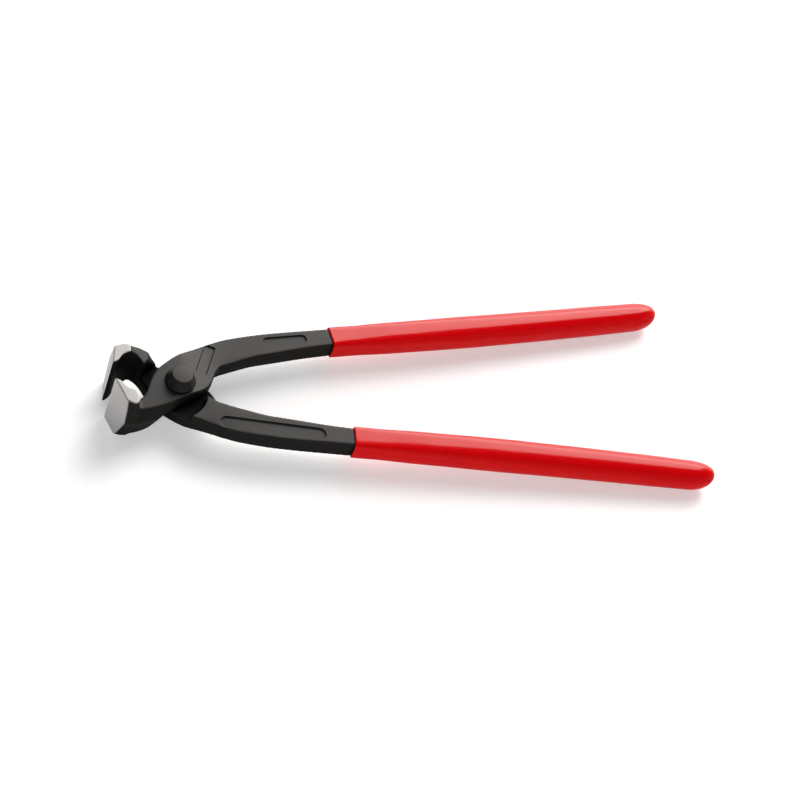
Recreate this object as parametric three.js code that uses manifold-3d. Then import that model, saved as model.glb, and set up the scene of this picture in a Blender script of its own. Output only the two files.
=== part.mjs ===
// Steel fixer's nippers: two like forged levers, one of them turned over,
// that cross in a lap joint, a cone headed rivet as their pivot, and a red
// dipped grip on each handle. They lie on their side, a little open, with the
// cutting edges upright.
//
// X runs from the jaws to the handles and Z along the pivot. The origin is the
// middle of the rivet's lower head.

import * as THREE from 'three';
import { mergeVertices } from 'three/addons/utils/BufferGeometryUtils.js';
import Module from 'manifold-3d';

const wasm = await Module();
wasm.setup();

// Driving sizes, in millimetres
const overallLength = 280;
const jawReach = 30;
const jawWidth = 27.6;
const jawDepth = 15.1;
const lapThickness = 6.5;
const lapRadius = 14.2;
const gripStart = 76.4;
const handleOffset = 17.75;
const handleSag = 0.7;
const shankWidth = 9.6;
const shankThickness = 8.8;
const coatThickness = 0.65;
const gripWidth = 14;
const gripThickness = 12.6;
const noseLength = 12;
const noseRise = 3;
const tangInset = 12;
const tangEndShare = 0.72;
const rivetRadius = 5;
const rivetHeadRadius = 6.6;
const rivetTopRadius = 4.45;
const rivetHeadHeight = 4.65;
const rivetRim = 0.5;

// Angles, in degrees. The two cutting bevels are ground by hand and differ a little.
const halfOpening = 7.3;
const handleLean = 0.5;
const upperBevelLean = 10.2;
const lowerBevelLean = 4.2;

// Forging draft, as slopes: of the jaw's outer side and of the handle
const jawDraft = 0.29;
const handleDraft = 0.07;

// Clearances, in millimetres
const runningGap = 0.3;
const boreGap = 0.1;
const fitGap = 0.3;
const edgeGap = 0.3;
const swingGap = 0.8;

// How far a cut runs past the piece that it cuts
const overrun = 4;

// Steps of the curved outlines and of the round pieces
const outlineSteps = 84;
const roundSteps = 48;
const ringSteps = 24;
const coatRings = 18;
const noseRings = 6;

const lapTop = lapThickness;
const jawHalf = jawWidth / 2;
const shankHalf = shankThickness / 2;
const gripLength = overallLength - jawReach - gripStart;
const tangLength = gripLength - tangInset;
const rivetHalf = lapTop + fitGap + rivetHeadHeight;
const leanSlope = Math.tan(THREE.MathUtils.degToRad(handleLean));

// Helpers for solids

function solidOf(geometry) {
  const bare = geometry.clone();
  bare.deleteAttribute('normal');
  bare.deleteAttribute('uv');
  const merged = mergeVertices(bare);
  return new wasm.Manifold(new wasm.Mesh({
    numProp: 3,
    vertProperties: Float32Array.from(merged.attributes.position.array),
    triVerts: Uint32Array.from(merged.index.array),
  }));
}

function geometryOf(solid) {
  const mesh = solid.getMesh();
  const geometry = new THREE.BufferGeometry();
  geometry.setAttribute('position', new THREE.BufferAttribute(mesh.vertProperties, 3));
  geometry.setIndex(new THREE.BufferAttribute(mesh.triVerts, 1));
  const faceted = geometry.toNonIndexed();
  faceted.computeVertexNormals();
  return faceted;
}

// A closed skin over rings of equally many points. The first and last ring are
// capped like the middle one, seen flat by the function flatten.
function loft(rings, flatten) {
  const count = rings[0].length;
  const index = [];
  for (let r = 0; r + 1 < rings.length; r += 1) {
    for (let i = 0; i < count; i += 1) {
      const here = r * count + i;
      const next = r * count + (i + 1) % count;
      index.push(here, next, next + count, here, next + count, here + count);
    }
  }
  const top = (rings.length - 1) * count;
  const middle = rings[Math.floor(rings.length / 2)];
  const faces = THREE.ShapeUtils.triangulateShape(middle.map(flatten), []);
  for (const [a, b, c] of faces) {
    index.push(c, b, a, top + a, top + b, top + c);
  }
  const geometry = new THREE.BufferGeometry().setFromPoints(rings.flat());
  geometry.setIndex(index);
  return geometry;
}

// A slab with the given outline in X and Z, as wide in Y as told
function sideSlab(points, halfWidth) {
  const shape = new THREE.Shape(points.map(([x, z]) => new THREE.Vector2(x, z)));
  const slab = new THREE.ExtrudeGeometry(shape, { depth: 2 * halfWidth, bevelEnabled: false });
  slab.translate(0, 0, -halfWidth);
  slab.rotateX(Math.PI / 2);
  return solidOf(slab);
}

// A slab with the given outline in X and Y between two heights
function planSlab(points, low, high) {
  const shape = new THREE.Shape(points.map(([x, y]) => new THREE.Vector2(x, y)));
  const slab = new THREE.ExtrudeGeometry(shape, { depth: high - low, bevelEnabled: false });
  slab.translate(0, 0, low);
  return solidOf(slab);
}

// A round bar along Z between two heights
function roundBar(radius, low, high) {
  const bar = new THREE.CylinderGeometry(radius, radius, high - low, roundSteps);
  bar.rotateX(Math.PI / 2);
  bar.translate(0, 0, (low + high) / 2);
  return solidOf(bar);
}

// The lever, in its own frame: closed, lap on top, the pivot at the middle, the
// handle at positive Y and the jaw at negative Y. Its outline is drawn at the
// parting plane, and each place on it holds the draft of the side below and
// above that plane.

// Places of the jaw in shares of jawReach and jawDepth, and on the ridge the
// draft below and above in shares of jawDraft
const hollowShares = [
  [0.943, 0.08], [0.903, 0.172], [0.869, 0.298], [0.819, 0.397],
  [0.752, 0.47], [0.685, 0.49], [0.611, 0.411], [0.527, 0.225],
];
const ridgeShares = [
  [1.26, 0.68, 1.15, 0.8], [1.06, 0.84, 1.12, 0.7], [0.956, 0.924, 1.05, 0.55],
  [0.889, 0.96, 1, 0.33], [0.815, 0.988, 1, 0.17], [0.765, 0.997, 1.08, 0.42],
  [0.721, 1, 1.12, 1.05], [0.671, 0.998, 1.08, 1.4], [0.57, 0.974, 1, 1.4],
  [0.436, 0.894, 0.85, 1], [0.302, 0.788, 0.5, 0.6],
];

// Places of the lap in shares of lapRadius
const lapFrontShares = [[-0.972, 0.014], [-0.775, 0.317], [-0.507, 0.585], [-0.141, 0.817]];
const lapFarShares = [[0.211, 1.028], [0.732, 1.211], [1.197, 1.373]];
const lapNearShares = [
  [-0.338, -0.711], [-0.169, -0.634], [0.31, -0.486], [0.542, -0.415],
  [0.824, -0.268], [1.007, -0.085],
];

// Places of the crotch in shares of gripStart and handleOffset
const crotchShares = [[0.212, 0.091], [0.2356, 0.25], [0.272, 0.398]];

// The bow: shares of gripStart, of handleOffset for its middle line, and of shankWidth
const bowShares = [
  [0.314, 0.825, 1.406], [0.386, 0.878, 1.37], [0.497, 0.941, 1.271],
  [0.668, 0.975, 1.177], [0.851, 0.996, 1.057], [1, 1, 1],
];

const place = (x, y, below = handleDraft, above = below) => ({ x, y, below, above });
const hollowPlace = ([x, y]) => place(-x * jawReach, -y * jawDepth, 0);
const ridgePlace = ([x, y, below, above]) => (
  place(-x * jawReach, -y * jawDepth, below * jawDraft, above * jawDraft));
const frontPlace = ([x, y]) => place(x * lapRadius, y * lapRadius, 0);
const lapPlace = ([x, y]) => place(x * lapRadius, y * lapRadius);
const crotchPlace = ([x, y]) => place(x * gripStart, y * handleOffset);
const bowPlace = (side) => ([x, middle, width]) => (
  place(x * gripStart, middle * handleOffset + side * width * shankWidth / 2));

// A smooth line of places through the given ones; the drafts are carried along
function smooth(places) {
  const line = (draft) => new THREE.CatmullRomCurve3(
    places.map((p) => new THREE.Vector3(p.x, p.y, p[draft])),
    false,
    'centripetal',
  ).getPoints(outlineSteps);
  const above = line('above');
  return line('below').map((p, i) => place(p.x, p.y, p.z, above[i].z));
}

// The tang inside the grip, which tapers to its end
function tangPlaces(side) {
  const start = shankWidth / 2 - fitGap;
  const end = tangEndShare * shankWidth / 2 - fitGap;
  return [
    place(gripStart - fitGap, handleOffset + side * start),
    place(gripStart + tangLength, handleOffset - leanSlope * tangLength + side * end),
  ];
}

// The whole outline, anticlockwise seen from above. It runs out past the
// cutting edge, where the bevel is ground off afterwards.
function leverOutline() {
  const farEdge = smooth([
    ...bowShares.map(bowPlace(1)).reverse(),
    ...lapFarShares.map(lapPlace).reverse(),
    ...lapFrontShares.map(frontPlace).reverse(),
    ...hollowShares.map(hollowPlace).reverse(),
    place(-jawReach, -edgeGap / 2, 0),
    place(-jawReach - 2 * overrun, overrun, 0),
  ]);
  const nearEdge = smooth([
    ...ridgeShares.map(ridgePlace),
    ...lapNearShares.map(lapPlace),
    ...crotchShares.map(crotchPlace),
    ...bowShares.map(bowPlace(-1)),
  ]);
  farEdge[0].x = gripStart - fitGap;
  nearEdge[nearEdge.length - 1].x = gripStart - fitGap;
  return [...farEdge, ...nearEdge, ...tangPlaces(-1), ...tangPlaces(1).reverse()];
}

// One ring of the forging: the outline moved inwards by its draft at a height
function draftedRing(outline, height) {
  const count = outline.length;
  return outline.map((here, i) => {
    const before = outline[(i + count - 1) % count];
    const after = outline[(i + 1) % count];
    const run = new THREE.Vector2(after.x - before.x, after.y - before.y).normalize();
    const inward = (height > 0 ? here.above : here.below) * Math.abs(height);
    return new THREE.Vector3(here.x - run.y * inward, here.y + run.x * inward, height);
  });
}

// The forging's upper and lower outline, seen from the side. The handle is
// thinnest at its bow. On the lap side it rises to the lap, in shares of
// gripStart and lapThickness; the other rows are shares of gripStart and of
// half the shank's thickness.
const riseShares = [[0.05, 1], [0.12, 0.84], [0.19, 0.7], [0.25, 0.63], [0.31, 0.61]];
const shoulderWaistShares = [[0, 0.77], [0.17, 0.79], [0.25, 0.84], [0.31, 0.89]];
const waistShares = [[0.42, 0.905], [0.55, 0.93], [0.7, 0.965], [0.85, 0.99], [0.996, 1]];

// The jaw's two ends are taller than the lap and the neck: shares of jawReach,
// and of the step up from the lap or of half the jaw's width
const flareShares = [[0.748, 1], [0.735, 0.5], [0.718, 0.14], [0.69, 0.03], [0.65, 0]];
const slopeShares = [
  [0.748, 1], [0.745, 0.96], [0.47, 0.68], [0.406, 0.39], [0.3, 0.05], [0.2, 0.05],
];

function sideOutline() {
  const waist = [
    ...waistShares.map(([x, z]) => [x * gripStart, z * shankHalf]),
    [gripStart - fitGap, shankHalf],
    [gripStart - fitGap, shankHalf - fitGap],
    [gripStart + tangLength, tangEndShare * shankHalf - fitGap],
  ];
  const lapSide = [...riseShares.map(([x, z]) => [x * gripStart, z * lapTop]), ...waist];
  const farSide = [...shoulderWaistShares.map(([x, z]) => [x * gripStart, z * shankHalf]), ...waist];
  const jawTop = flareShares.map(([x, z]) => [-x * jawReach, lapTop + z * (jawHalf - lapTop)]);
  const jawBottom = slopeShares.map(([x, z]) => [-x * jawReach, -z * jawHalf]);
  return [
    [-jawReach - overrun, -jawHalf],
    ...jawBottom,
    ...farSide.map(([x, z]) => [x, -z]),
    ...lapSide.reverse(),
    ...jawTop.reverse(),
    [-jawReach - overrun, jawHalf],
  ];
}

// What is ground off the jaw's front, from the cutting edge outwards
function bevelCut(bevelLean) {
  const slope = Math.tan(THREE.MathUtils.degToRad(bevelLean));
  const edgeY = -edgeGap / 2;
  const onBevel = (y) => [-jawReach - slope * (y - edgeY), y];
  const front = -jawReach - jawDepth - overrun;
  const low = -jawDepth - overrun;
  const outline = [onBevel(low), onBevel(overrun), [front, overrun], [front, low]];
  return planSlab(outline.reverse(), -jawHalf - overrun, jawHalf + overrun);
}

// What is cleared below the lap for the other lever's lap to swing in: a round
// pocket about the pivot on the jaw side, one a little off it towards the
// handle's shoulder, and the corner between the shoulder and the crotch
const shoulderShares = [-0.18, 0.17];
const notchShares = [
  [0, -0.7], [0.3, -0.7], [0.3, 0.45], [0.225, 0.35], [0.18, 0.254], [0.136, 0.1], [0, 0],
];

function recessCut() {
  const low = -jawHalf - overrun;
  const high = runningGap / 2;
  const radius = lapRadius + swingGap;
  const jawSide = roundBar(radius, low, high).subtract(planSlab([
    [0, -radius - overrun], [radius + overrun, -radius - overrun],
    [radius + overrun, radius + overrun], [0, radius + overrun],
  ], low - overrun, high + overrun));
  const [x, y] = shoulderShares;
  const shoulder = roundBar(radius, low, high).translate(x * lapRadius, y * lapRadius, 0);
  const notch = notchShares.map(([across, up]) => [across * gripStart, up * handleOffset]);
  return jawSide.add(shoulder).add(planSlab(notch, low, high));
}

function makeLever(bevelLean) {
  const outline = leverOutline();
  const reach = jawHalf + overrun;
  const rings = [-reach, 0, reach].map((height) => draftedRing(outline, height));
  const forging = solidOf(loft(rings, (p) => new THREE.Vector2(p.x, p.y)));
  const sides = sideSlab(sideOutline(), handleOffset + shankWidth);
  const bore = roundBar(rivetRadius + boreGap, -jawHalf, jawHalf);
  const body = forging.intersect(sides).subtract(recessCut()).subtract(bore);
  return geometryOf(body.subtract(bevelCut(bevelLean)));
}

// The rivet, turned about the pivot: a shank and a cone head at each end

function makeRivet() {
  const base = rivetHalf - rivetHeadHeight;
  const head = [
    [rivetRadius, base],
    [rivetHeadRadius, base],
    [rivetHeadRadius, base + rivetRim],
    [rivetTopRadius, rivetHalf],
    [0, rivetHalf],
  ];
  const foot = head.map(([radius, height]) => [radius, -height]).reverse();
  const profile = [...foot, ...head].map(([radius, height]) => new THREE.Vector2(radius, height));
  const rivet = new THREE.LatheGeometry(profile, roundSteps);
  rivet.rotateX(Math.PI / 2);
  return geometryOf(solidOf(rivet));
}

// The dipped grip, along X from its open end. It starts as a thin coat over the
// square shank, fattens to a rounded palm swell and sags a little inwards on the
// way. Rows are shares of the grip's length and of the growth in width and in
// thickness, and the power of the section's outline, from nearly square to
// oval.
const swellShares = [
  [0, 0, 0, 8], [0.06, 0.13, 0.12, 5.5], [0.2, 0.58, 0.62, 3.4], [0.4, 0.95, 1, 2.6],
  [0.55, 1, 1, 2.25], [0.75, 0.97, 1, 2.05], [1, 0.75, 0.9, 2],
];
const sideRidge = 0.2;
const noseBluntness = 0.7;

function swellAt(share) {
  const row = swellShares.findIndex(([place]) => place >= share);
  const after = swellShares[Math.max(row, 1)];
  const before = swellShares[Math.max(row, 1) - 1];
  const t = THREE.MathUtils.smoothstep(share, before[0], after[0]);
  return before.map((value, i) => THREE.MathUtils.lerp(value, after[i], t));
}

// One ring. At the nose it shrinks towards a tip that sits off the middle,
// where the last drop of the dip ran together.
function gripRing(share, nose, rise) {
  const startWidth = shankWidth / 2 + coatThickness;
  const startThickness = shankHalf + coatThickness;
  const [, width, thickness, power] = swellAt(share);
  const sag = handleSag * Math.sin(Math.PI * share);
  const halfWidth = THREE.MathUtils.lerp(startWidth, gripWidth / 2, width) * nose;
  const halfThickness = THREE.MathUtils.lerp(startThickness, gripThickness / 2, thickness) * nose;
  const ring = [];
  for (let i = 0; i < ringSteps; i += 1) {
    const angle = 2 * Math.PI * (i + 1 / 2) / ringSteps;
    const c = Math.cos(angle);
    const s = Math.sin(angle);
    const stretch = (Math.abs(c) ** power + Math.abs(s) ** power) ** (-1 / power);
    const ridge = sideRidge * nose * c * (1 - Math.abs(s * stretch));
    ring.push(new THREE.Vector3(
      share * gripLength,
      halfWidth * c * stretch + ridge - sag,
      halfThickness * s * stretch + rise * (1 - nose),
    ));
  }
  return ring;
}

function makeGrip(rise) {
  const rings = [];
  const bodyShare = 1 - noseLength / gripLength;
  for (let r = 0; r <= coatRings; r += 1) {
    rings.push(gripRing(bodyShare * r / coatRings, 1, rise));
  }
  for (let r = 1; r <= noseRings; r += 1) {
    const bend = Math.PI / 2 * r / (noseRings + 1 / 2);
    const nose = Math.cos(bend) ** noseBluntness;
    rings.push(gripRing(THREE.MathUtils.lerp(bodyShare, 1, Math.sin(bend)), nose, rise));
  }
  const coat = solidOf(loft(rings, (p) => new THREE.Vector2(p.y, p.z)));

  const pocketEnd = tangLength + fitGap;
  const pocketRing = (x) => {
    const taper = 1 - (1 - tangEndShare) * x / tangLength;
    const y = taper * shankWidth / 2;
    const z = taper * shankHalf;
    return [[-y, -z], [y, -z], [y, z], [-y, z]].map(([a, b]) => new THREE.Vector3(x, a, b));
  };
  const pocket = loft([-overrun, pocketEnd].map(pocketRing), (p) => new THREE.Vector2(p.y, p.z));
  return geometryOf(coat.subtract(solidOf(pocket)));
}

// Materials

const finish = (color, roughness, metalness) => (
  new THREE.MeshStandardMaterial({ color, roughness, metalness }));
const phosphatedSteel = finish(0x3a3938, 0.55, 0.7);
const rivetSteel = finish(0x454443, 0.45, 0.7);
const dippedPlastic = finish(0xc9141c, 0.22, 0);

// The assembly

const nippers = new THREE.Group();
nippers.position.z = rivetHalf;

function addPiece(parent, name, geometry, material) {
  const piece = new THREE.Mesh(geometry, material);
  piece.name = name;
  parent.add(piece);
  return piece;
}

// Each lever side is a group turned about the pivot; the lower one is turned
// over. Both tips of the grips set on the side that lies up.
function addSide(leverName, gripName, bevelLean, turnedOver) {
  const turn = new THREE.Group();
  turn.rotation.z = THREE.MathUtils.degToRad(turnedOver ? -halfOpening : halfOpening);
  const side = new THREE.Group();
  side.rotation.x = turnedOver ? Math.PI : 0;
  turn.add(side);
  nippers.add(turn);
  addPiece(side, leverName, makeLever(bevelLean), phosphatedSteel);
  const rise = turnedOver ? -noseRise : noseRise;
  const grip = addPiece(side, gripName, makeGrip(rise), dippedPlastic);
  grip.position.set(gripStart, handleOffset, 0);
  grip.rotation.z = -THREE.MathUtils.degToRad(handleLean);
}

addSide('lever_upper', 'grip_upper', upperBevelLean, false);
addSide('lever_lower', 'grip_lower', lowerBevelLean, true);
addPiece(nippers, 'rivet', makeRivet(), rivetSteel);

export default nippers;
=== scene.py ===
# %% [markdown]
# # Steel fixer's nippers
#
# Long pliers with wide end-cutting jaws. A steel fixer twists binding wire with
# them and nips it off. Two forged levers cross in a lap joint and turn on a
# rivet, and each handle is dipped in soft red plastic. The CAD model gives the
# exact solids. Here they get their rounded forging edges, ground faces, shallow
# fields, dipped grips and finishes, and the light of a product photo.
#
# Blender measures in metres and the drawing of the tool is in millimetres, so
# most cells work in millimetres and scale once, at the end.

import math
import time

import bmesh
import bpy
import numpy as np
from mathutils import Euler, Matrix, Vector


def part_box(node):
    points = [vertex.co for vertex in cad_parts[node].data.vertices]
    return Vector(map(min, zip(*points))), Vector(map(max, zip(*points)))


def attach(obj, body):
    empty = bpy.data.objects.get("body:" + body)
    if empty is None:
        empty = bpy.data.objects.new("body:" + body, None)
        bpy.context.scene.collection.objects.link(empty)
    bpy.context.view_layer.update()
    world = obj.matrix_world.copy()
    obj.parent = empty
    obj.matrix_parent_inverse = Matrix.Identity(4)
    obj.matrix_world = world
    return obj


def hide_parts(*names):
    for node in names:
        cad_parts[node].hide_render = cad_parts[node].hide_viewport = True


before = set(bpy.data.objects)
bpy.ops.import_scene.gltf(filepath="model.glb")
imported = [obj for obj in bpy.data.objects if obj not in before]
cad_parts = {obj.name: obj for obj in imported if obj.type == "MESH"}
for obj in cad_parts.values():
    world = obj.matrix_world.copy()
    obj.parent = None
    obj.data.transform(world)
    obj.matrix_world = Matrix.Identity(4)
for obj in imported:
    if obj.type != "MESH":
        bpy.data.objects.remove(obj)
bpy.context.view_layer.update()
started = time.perf_counter()
MM = 0.001

# %% [markdown]
# ## Camera
#
# The photograph looks down on the tool from the side of the lower handle, about
# 51 degrees above the ground. The place and the lens come from fitting the
# rivet, the levers and the grip ends. A long lens such as this one keeps the
# far handle nearly as large as the near one.

# %% Camera
CAMERA_PLACE = (-184.2, -435.2, 600.53)
CAMERA_TURN = (37.916, -17.434, -12.808)
CAMERA_LENS = 78.0
CAMERA_SENSOR = 36.0
NEAREST_SEEN = 0.02
FARTHEST_SEEN = 30.0


def placed(name, data):
    """A new object in the scene, around its camera, lamp or mesh."""
    made = bpy.data.objects.new(name, data)
    bpy.context.scene.collection.objects.link(made)
    return made


camera_data = bpy.data.cameras.new("camera")
camera_data.lens = CAMERA_LENS
camera_data.sensor_width = CAMERA_SENSOR
camera_data.clip_start = NEAREST_SEEN
camera_data.clip_end = FARTHEST_SEEN
camera = placed("camera", camera_data)
camera.location = Vector(CAMERA_PLACE) * MM
camera.rotation_euler = Euler([math.radians(a) for a in CAMERA_TURN], "XYZ")
bpy.context.scene.camera = camera
bpy.context.scene.view_settings.view_transform = "Standard"
bpy.context.view_layer.update()
looks_along = camera.matrix_world.to_3x3() @ Vector((0, 0, -1))
print("camera looks along", [round(v, 3) for v in looks_along])

# %% [markdown]
# ## Colours and nodes
#
# A colour is easiest to judge as the hex value that a screen shows, but the
# renderer adds up linear light, so one function turns the first into the
# second. A material is a small network of nodes. One helper adds a node with
# its settings and links, so that each material reads as a list of its parts.

# %% Colours and nodes


def colour(text):
    """A hex colour as a screen shows it, turned to linear red, green, blue and alpha."""
    parts = [int(text[i : i + 2], 16) / 255 for i in (1, 3, 5)]
    linear = [c / 12.92 if c <= 0.04045 else ((c + 0.055) / 1.055) ** 2.4 for c in parts]
    return (*linear, 1.0)


def add(tree, kind, inputs=None, **settings):
    """Adds one node.

    Settings are its own properties, and inputs are numbers, colours or the
    sockets that feed it.
    """
    node = tree.nodes.new(kind)
    for name, value in settings.items():
        setattr(node, name, value)
    for name, value in (inputs or {}).items():
        if isinstance(value, bpy.types.NodeSocket):
            tree.links.new(value, node.inputs[name])
        else:
            node.inputs[name].default_value = value
    return node


print("screen grey #808080 is", round(colour("#808080")[0], 3), "of full light")

# %% [markdown]
# ## Lamps
#
# Product photos of dark tools use a broad softbox behind and above, so that the
# upper faces mirror it and the faces towards the camera stay dark. A softbox
# alone gives a shadow with no edge, and the photograph has one, so a key lamp
# from the same side draws the shadow. A weaker fill lamp from the camera's side
# lifts the near faces. Both are kept out of the gloss, where they would show as
# spots.

# %% Softbox
SOFTBOX_PLACE = Vector((0.906, 1.18, 1.17))
SOFTBOX_AIM = Vector((0.15, 0.02, 0.01))
SOFTBOX_WIDTH = 1.25
SOFTBOX_HEIGHT = 0.95
SOFTBOX_RADIANCE = 5.4
STUDIO_TINT = "#fffaf5"

softbox_data = bpy.data.lights.new("softbox", "AREA")
softbox_data.shape = "RECTANGLE"
softbox_data.size = SOFTBOX_WIDTH
softbox_data.size_y = SOFTBOX_HEIGHT
softbox_data.color = colour(STUDIO_TINT)[:3]
softbox_data.energy = SOFTBOX_RADIANCE * math.pi * SOFTBOX_WIDTH * SOFTBOX_HEIGHT
softbox = placed("softbox", softbox_data)
softbox.location = SOFTBOX_PLACE
softbox.rotation_euler = (SOFTBOX_PLACE - SOFTBOX_AIM).to_track_quat("Z", "Y").to_euler()
print("softbox energy, W:", round(softbox_data.energy, 2))

# %% Key lamp and fill lamp
KEY_FROM = Vector((0.46, 0.6, 1.0))
KEY_STRENGTH = 1.05
KEY_SPREAD = 34.0
FILL_FROM = Vector((-0.3, -0.85, 0.45))
FILL_STRENGTH = 0.9
FILL_SPREAD = 60.0


def sun(name, comes_from, strength, spread):
    """A lamp with parallel rays, whose spread in degrees softens its shadow."""
    data = bpy.data.lights.new(name, "SUN")
    data.energy = strength
    data.angle = math.radians(spread)
    lamp = placed(name, data)
    lamp.rotation_euler = comes_from.to_track_quat("Z", "Y").to_euler()
    lamp.visible_glossy = False
    height = math.degrees(math.asin(comes_from.normalized().z))
    print(name, "lamp,", round(height, 1), "degrees above the ground")
    return lamp


sun("key", KEY_FROM, KEY_STRENGTH, KEY_SPREAD)
sun("fill", FILL_FROM, FILL_STRENGTH, FILL_SPREAD)

# %% [markdown]
# ## Studio sky
#
# The rest of the studio is a sky that is pale at the horizon and dim higher up,
# so that steep faces mirror more light than level ones. Towards the softbox it
# glows like a lit backdrop, which widens the band of light on the grips.

# %% Studio sky
HORIZON_GLOW = "#f2f2f2"
CEILING_GLOW = "#454547"
CEILING_STARTS = 0.75
BACKDROP_SIDE = (0.54, 0.82, 0.19)
BACKDROP_RIM = 0.8
BACKDROP_CORE = 0.97
BACKDROP_GLOW = 1.9

sky = bpy.data.worlds.new("studio")
sky.use_nodes = True
sky.node_tree.nodes.clear()
bpy.context.scene.world = sky
sky_tree = sky.node_tree
sky_side = add(sky_tree, "ShaderNodeTexCoord").outputs["Generated"]
sky_height = add(sky_tree, "ShaderNodeSeparateXYZ", {0: sky_side})
sky_ramp = add(
    sky_tree,
    "ShaderNodeMapRange",
    {"Value": sky_height.outputs["Z"], "From Min": 0.0, "From Max": CEILING_STARTS},
    interpolation_type="SMOOTHSTEP",
)
sky_colour = add(
    sky_tree,
    "ShaderNodeMix",
    {0: sky_ramp.outputs[0], 6: colour(HORIZON_GLOW), 7: colour(CEILING_GLOW)},
    data_type="RGBA",
)
towards_backdrop = add(
    sky_tree,
    "ShaderNodeVectorMath",
    {0: sky_side, 1: BACKDROP_SIDE},
    operation="DOT_PRODUCT",
)
backdrop_share = add(
    sky_tree,
    "ShaderNodeMapRange",
    {
        "Value": towards_backdrop.outputs["Value"],
        "From Min": BACKDROP_RIM,
        "From Max": BACKDROP_CORE,
        "To Max": BACKDROP_GLOW,
    },
    interpolation_type="SMOOTHSTEP",
)
sky_glow = add(sky_tree, "ShaderNodeBackground", {"Color": sky_colour.outputs[2], "Strength": 1.0})
backdrop = add(
    sky_tree,
    "ShaderNodeBackground",
    {"Color": colour(STUDIO_TINT), "Strength": backdrop_share.outputs[0]},
)
studio = add(sky_tree, "ShaderNodeAddShader", {0: sky_glow.outputs[0], 1: backdrop.outputs[0]})
add(sky_tree, "ShaderNodeOutputWorld", {"Surface": studio.outputs[0]})
print("backdrop fades out", round(math.degrees(math.acos(BACKDROP_RIM))), "degrees from its middle")

# %% [markdown]
# ## Ground
#
# The tool lies on white ground on the lower ends of its jaws and on its two
# grips. The grips are thinner than the jaws, so the ground leans a little in
# the tool's own frame. It is plain matt white. Where the camera, a glossy
# surface or a clear one sees it, a little glow is added, so that it shows as
# paper white and still keeps the shadow.

# %% Ground plane
JAW_FOOT = (-20.66, -2.35)
GRIP_FOOT = (234.1, 5.3)
GROUND_GAP = 0.03
GROUND_SIDE = 12.0

ground_slope = (GRIP_FOOT[1] - JAW_FOOT[1]) / (GRIP_FOOT[0] - JAW_FOOT[0])
ground_level = (JAW_FOOT[1] - ground_slope * JAW_FOOT[0] - GROUND_GAP) * MM
ground_half = GROUND_SIDE / 2
ground_corners = [
    (x, y, ground_level + ground_slope * x)
    for x, y in [
        (-ground_half, -ground_half),
        (ground_half, -ground_half),
        (ground_half, ground_half),
        (-ground_half, ground_half),
    ]
]
ground_mesh = bpy.data.meshes.new("ground")
ground_mesh.from_pydata(ground_corners, [], [(0, 1, 2, 3)])
ground = placed("ground", ground_mesh)
print("ground leans by", round(math.degrees(math.atan(ground_slope)), 2), "degrees")

# %% Matt white ground
GROUND_WHITE = "#f6f6f6"
GROUND_GLOW = 0.31

white_ground = bpy.data.materials.new("matt_white_ground")
white_ground.use_nodes = True
ground_tree = white_ground.node_tree
ground_tree.nodes.clear()
paper = add(ground_tree, "ShaderNodeBsdfDiffuse", {"Color": colour(GROUND_WHITE)})
ray = add(ground_tree, "ShaderNodeLightPath")
seen = ray.outputs["Is Camera Ray"]
for other in ("Is Glossy Ray", "Is Transmission Ray"):
    either = add(ground_tree, "ShaderNodeMath", {0: seen, 1: ray.outputs[other]}, operation="MAXIMUM")
    seen = either.outputs[0]
strength = add(ground_tree, "ShaderNodeMath", {0: seen, 1: GROUND_GLOW}, operation="MULTIPLY")
glow = add(ground_tree, "ShaderNodeEmission", {"Color": colour("#ffffff"), "Strength": strength.outputs[0]})
both = add(ground_tree, "ShaderNodeAddShader", {0: paper.outputs[0], 1: glow.outputs[0]})
add(ground_tree, "ShaderNodeOutputMaterial", {"Surface": both.outputs[0]})
ground_mesh.materials.append(white_ground)
print(white_ground.name, len(ground_tree.nodes), "nodes")

# %% [markdown]
# ## The two lever frames
#
# Both levers are the same forging, and the lower one is turned over. All the
# shaping is therefore done in the lever's own frame: closed, with the pivot in
# the middle, the handle at positive Y and the jaw at negative Y. A matrix takes
# that frame to the tool's frame.

# %% Lever frames
HALF_OPENING = 7.3
pivot_height = (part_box("rivet")[0].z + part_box("rivet")[1].z) / 2 / MM


def lever_frame(turned_over):
    """The matrix from a lever's own frame to the tool's frame, both in millimetres."""
    turn = math.radians(-HALF_OPENING if turned_over else HALF_OPENING)
    over = Matrix.Rotation(math.pi, 4, "X") if turned_over else Matrix.Identity(4)
    return Matrix.Translation((0, 0, pivot_height)) @ Matrix.Rotation(turn, 4, "Z") @ over


def turned(directions, matrix):
    """An array of directions after the turn of a matrix."""
    return directions @ np.array(matrix, float)[:3, :3].T


def moved(points, matrix):
    """An array of points after a matrix."""
    return turned(points, matrix) + np.array(matrix, float)[:3, 3]


SIDES = {
    "upper": {"frame": lever_frame(False), "body": "upper_side", "up": 1, "bevel_lean": 10.2},
    "lower": {"frame": lever_frame(True), "body": "lower_side", "up": -1, "bevel_lean": 4.2},
}
print("pivot height, mm:", round(pivot_height, 2))

# %% [markdown]
# ## Forged levers: an even net
#
# A drop forging has soft, rounded edges, because the steel doesn't fill sharp
# corners of the die, and it is tumbled afterwards. The CAD solid has sharp
# ones. A bevel modifier would fail on its many short edges, so the solid is
# rebuilt as an even net of small squares with the voxel remesh, and the net is
# relaxed. Each round of relaxing moves a point half the way to the middle of
# its neighbours, which rounds an edge a little and leaves a flat face flat.

# %% Nets as arrays


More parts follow.
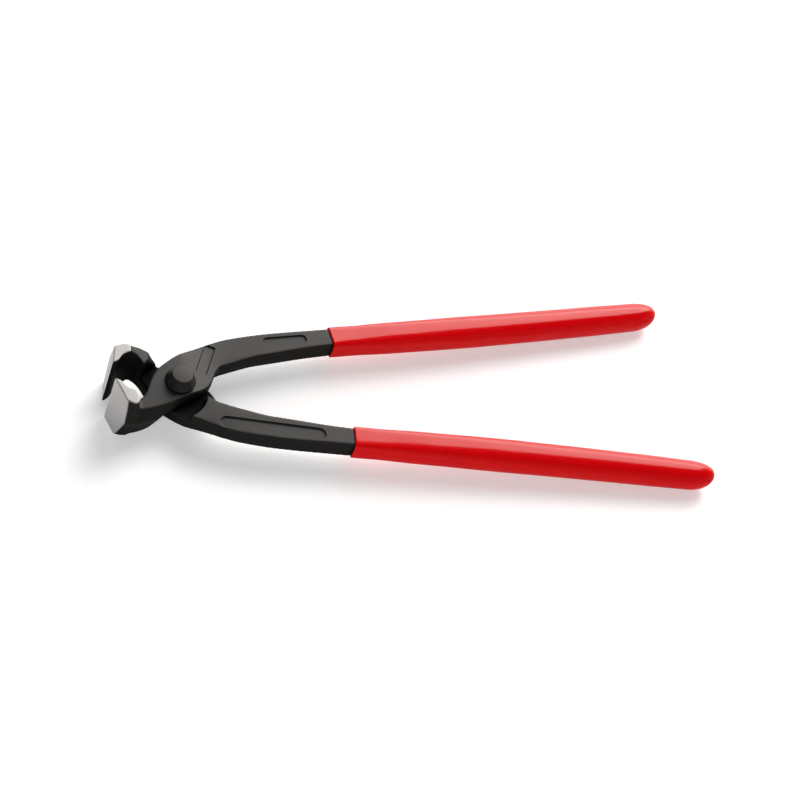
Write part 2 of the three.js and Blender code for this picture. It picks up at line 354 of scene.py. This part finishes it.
def mesh_arrays(mesh):
    """Points in millimetres and edges of a mesh."""
    points = np.empty(len(mesh.vertices) * 3)
    mesh.vertices.foreach_get("co", points)
    edges = np.empty(len(mesh.edges) * 2, int)
    mesh.edges.foreach_get("vertices", edges)
    return points.reshape(-1, 3) / MM, edges.reshape(-1, 2)


def normals_of(mesh):
    """The unit normals at a mesh's points."""
    found = np.empty(len(mesh.vertices) * 3)
    mesh.vertices.foreach_get("normal", found)
    return found.reshape(-1, 3)


def set_points(mesh, points):
    """Writes points in millimetres back to a mesh."""
    mesh.vertices.foreach_set("co", (points * MM).ravel())
    mesh.update()


def set_number(mesh, name, values):
    """Keeps a number at each point, for the materials to read."""
    layer = mesh.attributes.new(name, "FLOAT", "POINT")
    layer.data.foreach_set("value", np.asarray(values, np.float32))


print("the CAD lever has", len(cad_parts["lever_upper"].data.polygons), "triangles")

# %% Remesh and relax
VOXEL = 0.37
ROUND_EDGE = 0.42
RELAX = 0.5
LEAST_ROUNDS = 2
RELAX_ROUNDS = max(LEAST_ROUNDS, round(2 * (ROUND_EDGE / VOXEL) ** 2 / RELAX))


def remeshed(node):
    """A copy of a CAD node's mesh as an even net, with the modifier already applied."""
    carrier = placed("carrier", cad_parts[node].data.copy())
    step = carrier.modifiers.new("net", "REMESH")
    step.mode = "VOXEL"
    step.voxel_size = VOXEL * MM
    bpy.context.view_layer.update()
    ready = carrier.evaluated_get(bpy.context.evaluated_depsgraph_get())
    net = bpy.data.meshes.new_from_object(ready)
    bpy.data.objects.remove(carrier)
    net.materials.clear()
    return net


def relax(points, edges, strength, rounds):
    """Moves each point towards the middle of its neighbours, by its own strength, that many rounds."""
    a, b = edges.T
    count = np.bincount(a, minlength=len(points)) + np.bincount(b, minlength=len(points))
    share = (strength / np.maximum(count, 1))[:, None]
    for _ in range(rounds):
        total = [
            np.bincount(a, points[b, k], len(points)) + np.bincount(b, points[a, k], len(points))
            for k in range(3)
        ]
        points = points + share * (np.stack(total, 1) - count[:, None] * points)
    return points


def relax_part(points, edges, strength, rounds):
    """The same where few points have any strength: only they and their neighbours are worked on."""
    moving = strength > 0
    touched, inner = np.unique(edges[moving[edges].any(1)], return_inverse=True)
    points = points.copy()
    points[touched] = relax(points[touched], inner.reshape(-1, 2), strength[touched], rounds)
    return points


print("net of", VOXEL, "mm squares,", RELAX_ROUNDS, "rounds of relaxing")

# %% [markdown]
# ## Ground faces
#
# After forging, the cutting bevel and the two ends of each jaw are ground
# bright, while the rest keeps its dark skin. A number at each point says how
# much it belongs to a ground face: it lies on the plane and faces its way. An
# end also stops where the steel starts to slope down to the lap. The material
# reads that number, which is simpler than cutting the mesh into two materials
# and gives a soft seam. Ground faces are relaxed less than the rest, because a
# belt grinder leaves their edges crisp.

# %% Ground faces
JAW_REACH = 30.0
JAW_HALF = 13.8
JAW_END_START = -22.2
EDGE_GAP = 0.15
ON_PLANE = (0.25, 0.6)
FACES_ITS_WAY = (0.45, 0.7)
CRISPNESS = 0.85


def smoothstep(low, high, value):
    """0 below low, 1 above high and a soft curve between them."""
    t = np.clip((value - low) / (high - low), 0, 1)
    return t * t * (3 - 2 * t)


def bevel_plane(lean):
    """The outward normal of the cutting bevel, and how far its plane lies from the pivot."""
    angle = math.radians(lean)
    normal = np.array([-math.cos(angle), -math.sin(angle), 0.0])
    return normal, normal @ np.array([-JAW_REACH, -EDGE_GAP, 0.0])


def ground_share(points, normals, lean):
    """How much each point belongs to a ground face, from 0 to 1, in the lever's own frame."""
    normal, offset = bevel_plane(lean)
    near_bevel = 1 - smoothstep(*ON_PLANE, np.abs(points @ normal - offset))
    bevel = near_bevel * smoothstep(*FACES_ITS_WAY, normals @ normal)
    near_end = 1 - smoothstep(*ON_PLANE, np.abs(np.abs(points[:, 2]) - JAW_HALF))
    ends = near_end * smoothstep(*FACES_ITS_WAY, np.abs(normals[:, 2])) * (points[:, 0] < JAW_END_START)
    return np.maximum(bevel, ends)


print("bevels lie", [round(bevel_plane(s["bevel_lean"])[1], 2) for s in SIDES.values()], "mm from the pivot")

# %% [markdown]
# ## Neck
#
# Between the lap and the handle the forging swells without a crease. The CAD
# solid has a faint one there, which a sheen would show. So the two wide faces
# of the neck are relaxed for many more rounds, and every other point stays.

# %% Neck
NECK_START = (-4.0, 2.0)
NECK_END = (24.0, 32.0)
NECK_ABOVE_LAP = (2.5, 3.5)
NECK_LEVEL = (0.93, 0.975)
NECK_ROUNDS = 180


def neck_share(points, normals):
    """How much each point belongs to the two wide faces of the neck, between the lap and the handle."""
    along = smoothstep(*NECK_START, points[:, 0]) * (1 - smoothstep(*NECK_END, points[:, 0]))
    away_from_lap = smoothstep(*NECK_ABOVE_LAP, np.abs(points[:, 2]))
    return along * away_from_lap * smoothstep(*NECK_LEVEL, np.abs(normals[:, 2]))


def round_forging(mesh, side):
    """Rounds the edges of a lever's net and smooths its neck."""
    facts = SIDES[side]
    to_lever = facts["frame"].inverted()
    points, edges = mesh_arrays(mesh)
    points = moved(points, to_lever)
    crisp = ground_share(points, turned(normals_of(mesh), to_lever), facts["bevel_lean"])
    points = relax(points, edges, RELAX * (1 - CRISPNESS * crisp), RELAX_ROUNDS)
    set_points(mesh, moved(points, facts["frame"]))
    neck = neck_share(points, turned(normals_of(mesh), to_lever))
    points = relax_part(points, edges, RELAX * neck, NECK_ROUNDS)
    set_points(mesh, moved(points, facts["frame"]))


print("neck from", NECK_START[0], "to", NECK_END[1], "mm,", NECK_ROUNDS, "rounds")

# %% [markdown]
# ## Shallow fields
#
# The forging die leaves three shallow, plain fields in the broad faces. Cutting
# them with a Boolean would leave long thin triangles, which a sheen shows. So
# each is drawn as a bar with a corner radius and a signed distance: negative
# inside, zero on its edge. Points of the net that lie inside sink by the field's
# depth, and the wall is one soft step. The even net is too coarse for such a
# wall, so it is made finer along the walls first.

# %% Shallow fields
FIELD_DEPTH = 0.7
FIELD_WALL = 0.25
FIELD_LEVEL = (0.7, 0.9)
FINE_BAND = 0.7
FINE_CUTS = 2
FACE_LEVEL = 3.6
FIELDS = {
    "upper": [
        {"start": (46.3, 18.3), "end": (62.4, 18.0), "half": 2.25, "corner": 2.25},
        {"start": (12.0, 6.2), "end": (18.1, 16.6), "half": 2.5, "corner": 0.5},
    ],
    "lower": [
        {"start": (20.4, 16.6), "end": (60.8, 18.1), "half": 2.9, "corner": 2.9},
    ],
}


def bar_distance(points, start, end, half, corner):
    """The signed distance in plan from a bar with rounded corners.

    Its middle line runs from start to end, and half is half its width.
    """
    a, b = np.array(start), np.array(end)
    length = np.linalg.norm(b - a)
    along = (b - a) / length
    local = points[:, :2] - (a + b) / 2
    ahead = np.abs(local @ along) - (length / 2 + half - corner)
    aside = np.abs(local @ np.array([-along[1], along[0]])) - (half - corner)
    outside = np.hypot(np.maximum(ahead, 0), np.maximum(aside, 0))
    return outside + np.minimum(np.maximum(ahead, aside), 0) - corner


def refine_walls(mesh, side):
    """Makes the net finer along the walls of the fields, so that each wall has enough points to be sharp."""
    points = moved(mesh_arrays(mesh)[0], SIDES[side]["frame"].inverted())
    near = np.zeros(len(points), bool)
    for field in FIELDS[side]:
        near |= np.abs(bar_distance(points, **field) + FIELD_WALL / 2) < FINE_BAND
    near &= SIDES[side]["up"] * points[:, 2] > FACE_LEVEL
    net = bmesh.new()
    net.from_mesh(mesh)
    chosen = [edge for edge in net.edges if near[edge.verts[0].index] and near[edge.verts[1].index]]
    bmesh.ops.subdivide_edges(net, edges=chosen, cuts=FINE_CUTS, use_grid_fill=True)
    net.to_mesh(mesh)
    net.free()


def sink_fields(mesh, side):
    """Sinks the fields into the face that looks up in the photograph."""
    up = SIDES[side]["up"]
    to_lever = SIDES[side]["frame"].inverted()
    points = moved(mesh_arrays(mesh)[0], to_lever)
    normals = turned(normals_of(mesh), to_lever)
    depth = np.zeros(len(points))
    for field in FIELDS[side]:
        depth = np.maximum(depth, smoothstep(0, FIELD_WALL, -bar_distance(points, **field)))
    depth = depth * smoothstep(*FIELD_LEVEL, up * normals[:, 2]) * FIELD_DEPTH
    points[:, 2] -= up * depth
    set_points(mesh, moved(points, SIDES[side]["frame"]))


print("fields:", sum(len(fields) for fields in FIELDS.values()), "each", FIELD_DEPTH, "mm deep")

# %% [markdown]
# ## Marks for the finish
#
# The finish of a forging depends on its shape: ground faces are bright, corners
# lose their skin first, and broad faces shine more than rounded ones. Three
# numbers at each point carry that to the material. The sharpness of a corner is
# how far a point would still move if the net were relaxed further.

# %% Marks for the finish
SHARP_ROUNDS = 12
SHARP_MOVE = (0.02, 0.15)
BROAD_LEVEL = (0.5, 0.95)
BROAD_AWAY = (1.0, 2.5)


def mark_finish(mesh, side):
    """Keeps how ground, how sharp and how flat each point of a lever is."""
    to_lever = SIDES[side]["frame"].inverted()
    points, edges = mesh_arrays(mesh)
    points = moved(points, to_lever)
    normals = turned(normals_of(mesh), to_lever)
    relaxed = relax(points, edges, np.full(len(points), RELAX), SHARP_ROUNDS)
    sharpness = np.linalg.norm(relaxed - points, axis=1)
    level = smoothstep(*BROAD_LEVEL, np.abs(normals[:, 2]))
    set_number(mesh, "ground", ground_share(points, normals, SIDES[side]["bevel_lean"]))
    set_number(mesh, "edge", smoothstep(*SHARP_MOVE, sharpness))
    set_number(mesh, "flat", level * smoothstep(*BROAD_AWAY, np.abs(points[:, 2])))


print("a corner counts as sharp when it moves by", SHARP_MOVE, "mm")

# %% [markdown]
# ## Both levers
#
# Each lever goes through the same steps, and each step works on the net that the
# one before it left: remesh, round, refine, sink and mark. The new mesh takes
# the place of the plain solid, and it rides on that solid's body, so that it
# turns with the joint.

# %% Levers


def make_lever(side):
    """The forging of one side, rounded, ground and with its fields, as a new piece."""
    node = f"lever_{side}"
    mesh = remeshed(node)
    round_forging(mesh, side)
    refine_walls(mesh, side)
    sink_fields(mesh, side)
    mark_finish(mesh, side)
    mesh.shade_smooth()
    lever = placed(f"forged_lever_{side}", mesh)
    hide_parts(node)
    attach(lever, SIDES[side]["body"])
    print(lever.name, len(mesh.polygons), "faces")
    return lever


levers = {side: make_lever(side) for side in SIDES}

# %% [markdown]
# ## Rivet
#
# The pivot is a rivet that is turned on a lathe, with a cone at each end. So its
# outline is drawn once, with small rounds at the corners, and swept about the
# pivot axis.

# %% Rivet outline
RIVET_RADIUS = 5.0
RIVET_HEAD = 6.6
RIVET_TOP = 4.45
RIVET_BASE = 6.8
RIVET_RIM = 0.5
RIVET_HALF = pivot_height
CURVE_STEPS = 5

# Radius, height above the middle, and how far from the corner its curve starts
HALF_OUTLINE = [
    (RIVET_RADIUS, RIVET_BASE, 0.1),
    (RIVET_HEAD, RIVET_BASE, 0.12),
    (RIVET_HEAD, RIVET_BASE + RIVET_RIM, 0.3),
    (RIVET_TOP, RIVET_HALF, 0.22),
    (0, RIVET_HALF, 0),
]


def rounded(corners):
    """An open line of corners with each inner corner swapped for a small curve."""
    places = [np.array(corner[:2], float) for corner in corners]
    line = [places[0]]
    for i in range(1, len(corners) - 1):
        before = places[i - 1] - places[i]
        after = places[i + 1] - places[i]
        start = places[i] + before / np.linalg.norm(before) * corners[i][2]
        end = places[i] + after / np.linalg.norm(after) * corners[i][2]
        for k in range(CURVE_STEPS + 1):
            t = k / CURVE_STEPS
            line.append((1 - t) ** 2 * start + 2 * t * (1 - t) * places[i] + t * t * end)
    line.append(places[-1])
    return line


mirrored = [(radius, -height, curve) for radius, height, curve in reversed(HALF_OUTLINE)]
rivet_line = rounded(mirrored + HALF_OUTLINE)
print("rivet outline:", len(rivet_line), "points")

# %% Rivet
RIVET_STEPS = 128
RIVET_LEVEL = (0.75, 0.98)


def swept(line, steps):
    """Points and faces of a line of (radius, height) swept about the axis, with its two ends on the axis."""
    ring = [(math.cos(2 * math.pi * i / steps), math.sin(2 * math.pi * i / steps)) for i in range(steps)]
    points = [(0, 0, line[0][1])]
    for radius, height in line[1:-1]:
        points += [(radius * c, radius * s, height) for c, s in ring]
    points.append((0, 0, line[-1][1]))
    last = len(points) - 1
    faces = []
    for i in range(steps):
        j = (i + 1) % steps
        faces.append((0, 1 + j, 1 + i))
        faces.append((last, last - steps + i, last - steps + j))
        for r in range(len(line) - 3):
            a = 1 + r * steps
            faces.append((a + i, a + j, a + steps + j, a + steps + i))
    return points, faces


rivet_points, rivet_faces = swept(rivet_line, RIVET_STEPS)
rivet_mesh = bpy.data.meshes.new("rivet_turned")
rivet_places = [(x * MM, y * MM, (z + pivot_height) * MM) for x, y, z in rivet_points]
rivet_mesh.from_pydata(rivet_places, [], rivet_faces)
rivet_mesh.update()
set_number(rivet_mesh, "flat", smoothstep(*RIVET_LEVEL, np.abs(normals_of(rivet_mesh)[:, 2])))
rivet_mesh.shade_smooth()
rivet = placed("headed_rivet", rivet_mesh)
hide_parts("rivet")
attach(rivet, "upper_side")
print("rivet, faces:", len(rivet_mesh.polygons))

# %% [markdown]
# ## Dipped grips
#
# Each handle is dipped in liquid vinyl and cured. The coat starts thin over the
# square shank and fattens to a rounded palm swell, and its end is a drop that
# ran together and set. It is one skin of rings. Each ring is a superellipse,
# whose power slides from nearly square to nearly oval along the grip.

# %% Grip rings
OVERALL_LENGTH = 280.0
GRIP_START = 76.4
GRIP_LENGTH = OVERALL_LENGTH - JAW_REACH - GRIP_START
GRIP_WIDTH = 14.0
GRIP_THICKNESS = 12.6
HANDLE_SAG = 0.7
SHANK_WIDTH = 9.6
SHANK_THICKNESS = 8.8
COAT = 0.65
SIDE_RIDGE = 0.2
GRIP_STEPS = 96

# Share of the grip's length, shares of its full width and thickness, and the ring's power
SWELL = np.array(
    [
        [0, 0, 0, 8],
        [0.06, 0.13, 0.12, 5.5],
        [0.2, 0.58, 0.62, 3.8],
        [0.4, 0.95, 1, 3.0],
        [0.55, 1, 1, 2.7],
        [0.75, 0.97, 1, 2.5],
        [1, 0.75, 0.9, 2.3],
    ]
)


def swell_at(share):
    """Width, thickness and power of the section at a share of the grip's length."""
    row = max(1, int(np.argmax(SWELL[:, 0] >= share)))
    before, after = SWELL[row - 1], SWELL[row]
    t = float(smoothstep(before[0], after[0], share))
    return (before + t * (after - before))[1:]


def superellipse(power):
    """Points around a ring of half width 1: round at power 2 and nearly square at 14."""
    angle = 2 * math.pi * (np.arange(GRIP_STEPS) + 0.5) / GRIP_STEPS
    c, s = np.cos(angle), np.sin(angle)
    stretch = (np.abs(c) ** power + np.abs(s) ** power) ** (-1 / power)
    return c * stretch, s * stretch, c


def grip_ring(share, nose=1.0, shrink=0.0, rise=0.0):
    """One ring of the grip's skin in the grip's own frame, in millimetres.

    At the nose it shrinks to a tip that is raised.
    """
    width, thickness, power = swell_at(share)
    half_width = (1 - width) * (SHANK_WIDTH / 2 + COAT) + width * GRIP_WIDTH / 2
    half_thickness = (1 - thickness) * (SHANK_THICKNESS / 2 + COAT) + thickness * GRIP_THICKNESS / 2
    across, up, side = superellipse(power)
    ridge = SIDE_RIDGE * nose * side * (1 - np.abs(up))
    sag = HANDLE_SAG * math.sin(math.pi * share)
    y = (half_width * nose - shrink) * across + ridge - sag
    z = (half_thickness * nose - shrink) * up + rise * (1 - nose)
    return np.stack([np.full(GRIP_STEPS, share * GRIP_LENGTH), y, z], 1)


swell_ring = grip_ring(0.5)
print("palm swell, mm:", [round(float(np.ptp(swell_ring[:, k])), 2) for k in (1, 2)])

# %% Pocket for the tang
TANG_INSET = 12.0
TANG_LENGTH = GRIP_LENGTH - TANG_INSET
TANG_END_SHARE = 0.72
POCKET_POWER = 14
POCKET_START = 0.6
POCKET_SPARE = 0.3
POCKET_RINGS = 24


def pocket_ring(x):
    """One ring of the pocket that holds the tang."""
    taper = 1 - (1 - TANG_END_SHARE) * max(x, 0) / TANG_LENGTH
    across, up, _ = superellipse(POCKET_POWER)
    y = taper * SHANK_WIDTH / 2 * across
    z = taper * SHANK_THICKNESS / 2 * up
    return np.stack([np.full(GRIP_STEPS, x), y, z], 1)


print("the pocket ends", round(GRIP_LENGTH - TANG_LENGTH - POCKET_SPARE, 1), "mm before the grip does")

# %% Grip skin
LIP_LENGTH = 0.5
LIP_THINNEST = 0.12
LIP_RINGS = 5
BODY_START = 1.6 * LIP_LENGTH
BODY_RINGS = 110
NOSE = 12.0
NOSE_BLUNTNESS = 0.7
NOSE_RISE = 3.0
NOSE_RINGS = 22


def skin(rings):
    """Points and faces of a skin over rings, closed by a fan at its first and last ring."""
    count = len(rings[0])
    points = np.concatenate([*rings, [rings[0].mean(0)], [rings[-1].mean(0)]])
    first, last = len(points) - 2, len(points) - 1
    faces = []
    for r in range(len(rings) - 1):
        for i in range(count):
            j = (i + 1) % count
            faces.append((r * count + i, r * count + j, (r + 1) * count + j, (r + 1) * count + i))
    end = (len(rings) - 1) * count
    for i in range(count):
        j = (i + 1) % count
        faces.append((first, j, i))
        faces.append((last, end + i, end + j))
    return points, faces


def grip_skin(rise):
    """The coat with its pocket: from the pocket's end out to the lip, and along the skin to the nose."""
    rings = [pocket_ring(x) for x in np.linspace(TANG_LENGTH + POCKET_SPARE, POCKET_START, POCKET_RINGS)]
    for k in range(LIP_RINGS + 1):
        bend = math.pi / 2 * k / LIP_RINGS
        ring = grip_ring(0.0, shrink=(COAT - LIP_THINNEST) * (1 - math.sin(bend)))
        ring[:, 0] = LIP_LENGTH * (1 - math.cos(bend))
        rings.append(ring)
    nose_share = 1 - NOSE / GRIP_LENGTH
    rings += [grip_ring(share) for share in np.linspace(BODY_START / GRIP_LENGTH, nose_share, BODY_RINGS)]
    for k in range(1, NOSE_RINGS + 1):
        bend = math.pi / 2 * k / (NOSE_RINGS + 0.5)
        share = nose_share + (1 - nose_share) * math.sin(bend)
        rings.append(grip_ring(share, nose=math.cos(bend) ** NOSE_BLUNTNESS, rise=rise))
    return skin(rings)


print("rings in a grip:", POCKET_RINGS + LIP_RINGS + 1 + BODY_RINGS + NOSE_RINGS)

# %% Grips
HANDLE_OFFSET = 17.75
HANDLE_LEAN = 0.5
GRIP_LEVEL = (0.55, 0.85)


def make_grip(side):
    """One dipped grip as a new piece, which knows where its broad faces are."""
    facts = SIDES[side]
    points, faces = grip_skin(NOSE_RISE * facts["up"])
    lean = Matrix.Rotation(-math.radians(HANDLE_LEAN), 4, "Z")
    on_handle = Matrix.Translation((GRIP_START, HANDLE_OFFSET, 0)) @ lean
    points = moved(points, facts["frame"] @ on_handle) * MM
    mesh = bpy.data.meshes.new(f"dipped_{side}")
    mesh.from_pydata(points.tolist(), [], faces)
    mesh.update()
    set_number(mesh, "flat", smoothstep(*GRIP_LEVEL, np.abs(normals_of(mesh)[:, 2])))
    mesh.shade_smooth()
    grip = placed(f"dipped_grip_{side}", mesh)
    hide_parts(f"grip_{side}")
    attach(grip, facts["body"])
    print(grip.name, len(mesh.polygons), "faces")
    return grip


grips = {side: make_grip(side) for side in SIDES}

# %% [markdown]
# ## Black phosphated steel
#
# The forgings are dipped in a phosphate bath, which grows a fine crystal layer
# on the steel, and then oiled. The eye sees a matt, nearly black grey with a
# weak, broad sheen. The layer is no bare metal, so it is a dielectric with a
# high roughness. Crystals of a few hundredths of a millimetre are far too small
# to show, so the grain is drawn ten times as coarse.
#
# The sheen lies on the broad faces. The sides and rounded edges mirror much less, so two skins are mixed by
# the number "flat". Shade is painted into the colour where a face turns over and in recesses, which makes the
# skin blacker there. Corners rub through to a lighter grey, in patches.

# %% Material helpers


def new_material(name):
    """An empty node material."""
    made = bpy.data.materials.new(name)
    made.use_nodes = True
    made.node_tree.nodes.clear()
    return made


def per_mm(millimetres):
    """A noise scale whose cells are about that many millimetres wide."""
    return 1.0 / (millimetres * MM)


print("a grain of 0.5 mm has noise scale", per_mm(0.5))

# %% Phosphate colour
RUB = 0.12
RECESS_REACH = 20.0

steel = new_material("phosphated_forged_steel")
tree = steel.node_tree
place = add(tree, "ShaderNodeTexCoord").outputs["Object"]
mottle = add(tree, "ShaderNodeTexNoise", {"Vector": place, "Scale": per_mm(9.0), "Detail": 3.0})
skin_tone = add(
    tree,
    "ShaderNodeMix",
    {0: mottle.outputs["Fac"], 6: colour("#1b1a18"), 7: colour("#21201e")},
    data_type="RGBA",
)
sharp = add(tree, "ShaderNodeAttribute", attribute_name="edge")
patches = add(tree, "ShaderNodeTexNoise", {"Vector": place, "Scale": per_mm(2.0), "Detail": 4.0})
rubbed = add(
    tree,
    "ShaderNodeMath",
    {0: sharp.outputs["Fac"], 1: patches.outputs["Fac"]},
    operation="MULTIPLY",
)
rubbed_lightly = add(tree, "ShaderNodeMath", {0: rubbed.outputs[0], 1: RUB}, operation="MULTIPLY")
worn_skin = add(
    tree,
    "ShaderNodeMix",
    {0: rubbed_lightly.outputs[0], 6: skin_tone.outputs[2], 7: colour("#4a4846")},
    data_type="RGBA",
)
broad = add(tree, "ShaderNodeAttribute", attribute_name="flat")
# Painted shade: the skin goes towards black along the rounded edges, where a face turns over, and in recesses
# found by ambient occlusion.
turning_over = add(tree, "ShaderNodeMath", {0: broad.outputs["Fac"], 1: 0.5}, operation="PINGPONG")
sky_share = add(tree, "ShaderNodeAmbientOcclusion", {"Distance": RECESS_REACH * MM}, samples=8)
open_air = add(
    tree,
    "ShaderNodeMapRange",
    {"Value": sky_share.outputs["AO"], "From Min": 0.5, "From Max": 0.85},
)
shut_in = add(tree, "ShaderNodeMath", {0: 1.0, 1: open_air.outputs[0]}, operation="SUBTRACT")
painted_shade_share = add(
    tree,
    "ShaderNodeMath",
    {0: turning_over.outputs[0], 1: shut_in.outputs[0]},
    operation="MAXIMUM",
)
# The skin blended towards near black by that painted shade.
skin_with_painted_shade = add(
    tree,
    "ShaderNodeMix",
    {0: painted_shade_share.outputs[0], 6: worn_skin.outputs[2], 7: colour("#020202")},
    data_type="RGBA",
)
print(steel.name, len(tree.nodes), "nodes for its colour")

# %% Phosphate skins
grain = add(tree, "ShaderNodeTexNoise", {"Vector": place, "Scale": per_mm(0.5), "Detail": 3.0})
broad_rough = add(tree, "ShaderNodeMapRange", {"Value": grain.outputs["Fac"], "To Min": 0.48, "To Max": 0.58})
crystals = add(
    tree,
    "ShaderNodeBump",
    {"Height": grain.outputs["Fac"], "Strength": 0.35, "Distance": 0.02 * MM},
)
broad_skin = add(
    tree,
    "ShaderNodeBsdfPrincipled",
    {
        "Base Color": skin_with_painted_shade.outputs[2],
        "Roughness": broad_rough.outputs[0],
        "IOR": 1.5,
        "Normal": crystals.outputs[0],
    },
)
side_skin = add(
    tree,
    "ShaderNodeBsdfPrincipled",
    {
        "Base Color": skin_with_painted_shade.outputs[2],
        "Roughness": 0.6,
        "IOR": 1.4,
        "Specular IOR Level": 0.06,
        "Normal": crystals.outputs[0],
    },
)
dark = add(
    tree,
    "ShaderNodeMixShader",
    {0: broad.outputs["Fac"], 1: side_skin.outputs[0], 2: broad_skin.outputs[0]},
)
print(steel.name, len(tree.nodes), "nodes with its two skins")

# %% [markdown]
# ## Belt ground steel
#
# The cutting bevel and the ends of the jaws are bare steel, straight from a
# grinding belt. The eye sees a bright, grey metal with fine lines along the
# belt's run. Real lines are a few hundredths of a millimetre apart, and they
# are drawn at 0.3 mm, so that they show.

# %% Belt ground steel
ALONG_THE_BELT = 0.06

belt_run = add(tree, "ShaderNodeMapping", {"Vector": place, "Scale": (1.0, ALONG_THE_BELT, 1.0)})
lines = add(tree, "ShaderNodeTexNoise", {"Vector": belt_run.outputs[0], "Scale": per_mm(0.3), "Detail": 2.0})
ground_tone = add(
    tree,
    "ShaderNodeMix",
    {0: lines.outputs["Fac"], 6: colour("#a1a09f"), 7: colour("#bcbbba")},
    data_type="RGBA",
)
ground_rough = add(tree, "ShaderNodeMapRange", {"Value": lines.outputs["Fac"], "To Min": 0.48, "To Max": 0.6})
scratches = add(
    tree,
    "ShaderNodeBump",
    {"Height": lines.outputs["Fac"], "Strength": 0.3, "Distance": 0.01 * MM},
)
bright = add(
    tree,
    "ShaderNodeBsdfPrincipled",
    {
        "Base Color": ground_tone.outputs[2],
        "Metallic": 1.0,
        "Roughness": ground_rough.outputs[0],
        "Normal": scratches.outputs[0],
    },
)
ground_mask = add(tree, "ShaderNodeAttribute", attribute_name="ground")
finish = add(
    tree,
    "ShaderNodeMixShader",
    {0: ground_mask.outputs["Fac"], 1: dark.outputs[0], 2: bright.outputs[0]},
)
add(tree, "ShaderNodeOutputMaterial", {"Surface": finish.outputs[0]})
for lever in levers.values():
    lever.data.materials.append(steel)
print(steel.name, len(tree.nodes), "nodes in all")

# %% [markdown]
# ## Rivet steel
#
# The rivet is turned from bar, which leaves it smoother than a forging, and gets
# the same dark skin. Its faced ends mirror the studio, and its cones, like the
# sides of the levers, hardly do.

# %% Rivet steel
rivet_steel = new_material("turned_dark_steel")
tree = rivet_steel.node_tree
place = add(tree, "ShaderNodeTexCoord").outputs["Object"]
grain = add(tree, "ShaderNodeTexNoise", {"Vector": place, "Scale": per_mm(0.6), "Detail": 3.0})
tone = add(
    tree,
    "ShaderNodeMix",
    {0: grain.outputs["Fac"], 6: colour("#1a1917"), 7: colour("#22201f")},
    data_type="RGBA",
)
rough = add(tree, "ShaderNodeMapRange", {"Value": grain.outputs["Fac"], "To Min": 0.36, "To Max": 0.46})
pits = add(tree, "ShaderNodeBump", {"Height": grain.outputs["Fac"], "Strength": 0.25, "Distance": 0.02 * MM})
faced = add(
    tree,
    "ShaderNodeBsdfPrincipled",
    {"Base Color": tone.outputs[2], "Roughness": rough.outputs[0], "IOR": 1.46, "Normal": pits.outputs[0]},
)
cone = add(
    tree,
    "ShaderNodeBsdfPrincipled",
    {
        "Base Color": tone.outputs[2],
        "Roughness": rough.outputs[0],
        "IOR": 1.4,
        "Specular IOR Level": 0.15,
        "Normal": pits.outputs[0],
    },
)
broad = add(tree, "ShaderNodeAttribute", attribute_name="flat")
body = add(tree, "ShaderNodeMixShader", {0: broad.outputs["Fac"], 1: cone.outputs[0], 2: faced.outputs[0]})
add(tree, "ShaderNodeOutputMaterial", {"Surface": body.outputs[0]})
rivet.data.materials.append(rivet_steel)
print(rivet_steel.name, len(tree.nodes), "nodes")

# %% [markdown]
# ## Red dip coating
#
# Plasticised vinyl, cured from a dip: a soft, glossy, evenly coloured skin. Its
# surface tension leaves slow waves a few millimetres long, which bend the edge
# of each reflection a little. In the photograph the sides mirror less than the
# broad faces and keep a deeper red, so they have a weaker gloss of their own.

# %% Red dip coating
vinyl = new_material("red_vinyl_dip")
tree = vinyl.node_tree
place = add(tree, "ShaderNodeTexCoord").outputs["Object"]
waves = add(tree, "ShaderNodeTexNoise", {"Vector": place, "Scale": per_mm(7.0), "Detail": 1.0})
fine = add(tree, "ShaderNodeTexNoise", {"Vector": place, "Scale": per_mm(0.7), "Detail": 2.0})
tone = add(
    tree,
    "ShaderNodeMix",
    {0: waves.outputs["Fac"], 6: colour("#cf0007"), 7: colour("#d8050a")},
    data_type="RGBA",
)
rough = add(tree, "ShaderNodeMapRange", {"Value": fine.outputs["Fac"], "To Min": 0.1, "To Max": 0.15})
slow = add(tree, "ShaderNodeBump", {"Height": waves.outputs["Fac"], "Strength": 0.4, "Distance": 0.08 * MM})
pores = add(
    tree,
    "ShaderNodeBump",
    {"Height": fine.outputs["Fac"], "Strength": 0.2, "Distance": 0.01 * MM, "Normal": slow.outputs[0]},
)
glossy = add(
    tree,
    "ShaderNodeBsdfPrincipled",
    {"Base Color": tone.outputs[2], "Roughness": rough.outputs[0], "IOR": 1.35, "Normal": pores.outputs[0]},
)
dulled = add(
    tree,
    "ShaderNodeBsdfPrincipled",
    {
        "Base Color": tone.outputs[2],
        "Roughness": rough.outputs[0],
        "IOR": 1.35,
        "Specular IOR Level": 0.12,
        "Normal": pores.outputs[0],
    },
)
broad = add(tree, "ShaderNodeAttribute", attribute_name="flat")
body = add(tree, "ShaderNodeMixShader", {0: broad.outputs["Fac"], 1: dulled.outputs[0], 2: glossy.outputs[0]})
add(tree, "ShaderNodeOutputMaterial", {"Surface": body.outputs[0]})
for grip in grips.values():
    grip.data.materials.append(vinyl)
print(vinyl.name, len(tree.nodes), "nodes")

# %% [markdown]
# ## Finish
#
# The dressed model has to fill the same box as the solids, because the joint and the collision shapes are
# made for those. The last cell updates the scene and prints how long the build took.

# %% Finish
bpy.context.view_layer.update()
print("built in", round(time.perf_counter() - started, 1), "s")
